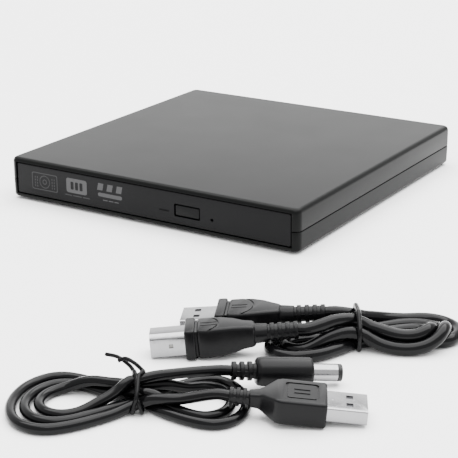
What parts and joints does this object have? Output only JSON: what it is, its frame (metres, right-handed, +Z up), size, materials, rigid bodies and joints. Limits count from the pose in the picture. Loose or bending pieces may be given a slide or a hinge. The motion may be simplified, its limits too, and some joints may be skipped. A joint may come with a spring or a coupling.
{
  "type": "external optical drive",
  "caption": "Slim external optical drive in a two-part black shell, with an opening disc tray, eject button, status light, rear sockets, and tied power and data leads beside it.",
  "frame": {"origin": "centre of the case's footprint, on the plane the feet stand on", "axes": "+Z up, -Y out of the bezel and the way the tray opens, +X to the right seen from the front"},
  "size_m": [0.2343, 0.3163, 0.019],
  "materials": {
    "shell_plastic": "fine satin, charcoal black",
    "bezel_plastic": "fine satin, charcoal black",
    "button_plastic": "fine satin, charcoal black",
    "tray_plastic": "moulded, dark grey",
    "black_plastic": "moulded, black",
    "white_plastic": "moulded, off-white",
    "foot_rubber": "soft matt",
    "bush_rubber": "soft matt",
    "screw_steel": "zinc plated",
    "black_screw": "black oxide",
    "plated_steel": "nickel plated, bright",
    "chassis_steel": "pressed zinc sheet",
    "cover_steel": "pressed sheet",
    "rail_steel": "pressed sheet",
    "polished_rod": "ground and polished",
    "motor_copper": "enamelled winding and plate",
    "motor_can": "drawn can",
    "cast_alloy": "die cast",
    "board_green": "solder mask",
    "chip_black": "moulded",
    "ribbon_film": "thin film",
    "light_guide": "clear moulded bar",
    "lens_glass": "coated",
    "plug_grip": "soft moulded, black",
    "cord_jacket": "smooth jacket, black",
    "tie_wire": "coated wire",
    "tie_band": "elastic band"
  },
  "bodies": {
    "case": {"top_shell": "shell_plastic", "bottom_shell": "shell_plastic", "rubber_feet": "foot_rubber", "case_screws": "screw_steel", "bridge_board": "board_green", "board_chips": "chip_black", "usb_socket_shell": "plated_steel", "usb_socket_tongue": "white_plastic", "dc_jack_body": "black_plastic", "dc_jack_pin": "plated_steel", "board_socket": "black_plastic", "drive_chassis": "chassis_steel", "drive_cover": "chassis_steel", "cover_screws": "black_screw", "guide_left": "white_plastic", "guide_right": "white_plastic", "drive_connector": "black_plastic", "latch_post": "chassis_steel", "eject_pusher": "white_plastic", "eject_spring": "screw_steel", "ribbon_cable": "ribbon_film"},
    "rails": {"rail_left": "rail_steel", "rail_right": "rail_steel"},
    "tray": {"disc_tray": "tray_plastic", "front_bezel": "bezel_plastic", "light_pipe": "light_guide", "traverse_frame": "rail_steel", "traverse_cover": "cover_steel", "guide_rods": "polished_rod", "motor_stator": "motor_copper", "sled_motor": "motor_can", "damper_bushes": "bush_rubber", "servo_board": "board_green", "servo_chips": "chip_black", "eject_switch": "black_plastic", "latch_solenoid": "motor_copper", "tray_screws": "screw_steel"},
    "button": {"eject_button": "button_plastic"},
    "spindle": {"spindle_rotor": "motor_can", "turntable_pad": "bush_rubber", "disc_hub": "black_plastic", "hub_claws": "white_plastic"},
    "sled": {"pickup_sled": "cast_alloy", "sled_nut": "white_plastic"},
    "lens": {"lens_holder": "black_plastic", "objective_lens": "lens_glass"},
    "screw": {"lead_screw": "polished_rod"},
    "latch": {"latch_hook": "white_plastic"},
    "power_lead": {"power_usb_shell": "plated_steel", "power_usb_grip": "plug_grip", "power_cord": "cord_jacket", "dc_plug_grip": "plug_grip", "dc_plug_barrel": "plated_steel", "power_tie": "tie_wire"},
    "data_lead": {"data_usb_a_shell": "plated_steel", "data_usb_a_grip": "plug_grip", "data_usb_b_shell": "plated_steel", "data_usb_b_grip": "plug_grip", "data_cord": "cord_jacket", "data_tie": "tie_band"}
  },
  "joints": [
    {"name": "tray_slide", "type": "slide", "parent": "case", "child": "tray", "axis": [0, -1, 0], "range_m": [0, 0.128]},
    {"name": "rail_slide", "type": "slide", "parent": "case", "child": "rails", "axis": [0, -1, 0], "range_m": [0, 0.064]},
    {"name": "eject_button_press", "type": "slide", "parent": "tray", "child": "button", "axis": [0, 1, 0], "range_m": [0, 0.0008], "stiffness_N_per_m": 900},
    {"name": "disc_spin", "type": "hinge", "parent": "tray", "child": "spindle", "pos_m": [0, -0.0075, 0.0122], "axis": [0, 0, 1], "continuous": true},
    {"name": "sled_slide", "type": "slide", "parent": "tray", "child": "sled", "axis": [-0.7071, -0.7071, 0], "range_m": [0, 0.033]},
    {"name": "lead_screw_spin", "type": "hinge", "parent": "tray", "child": "screw", "pos_m": [0.01655, -0.02405, 0.0072], "axis": [-0.7071, -0.7071, 0], "range_deg": [0, 4100]},
    {"name": "lens_focus", "type": "slide", "parent": "sled", "child": "lens", "axis": [0, 0, 1], "range_m": [-0.0004, 0.0004], "stiffness_N_per_m": 60},
    {"name": "latch_turn", "type": "hinge", "parent": "tray", "child": "latch", "pos_m": [0.044, -0.048, 0.0062], "axis": [0, 0, 1], "range_deg": [0, 14]},
    {"name": "power_lead_slide", "type": "slide", "parent": "case", "child": "power_lead", "axis": [0.5208, -0.8537, 0], "range_m": [0, 0.08]},
    {"name": "data_lead_slide", "type": "slide", "parent": "case", "child": "data_lead", "axis": [0.8537, 0.5208, 0], "range_m": [0, 0.08]}
  ],
  "couplings": [
    {"joint": "rail_slide", "follows": "tray_slide", "ratio": 0.5},
    {"joint": "lead_screw_spin", "follows": "sled_slide", "rad_per_m": 2094.4}
  ]
}
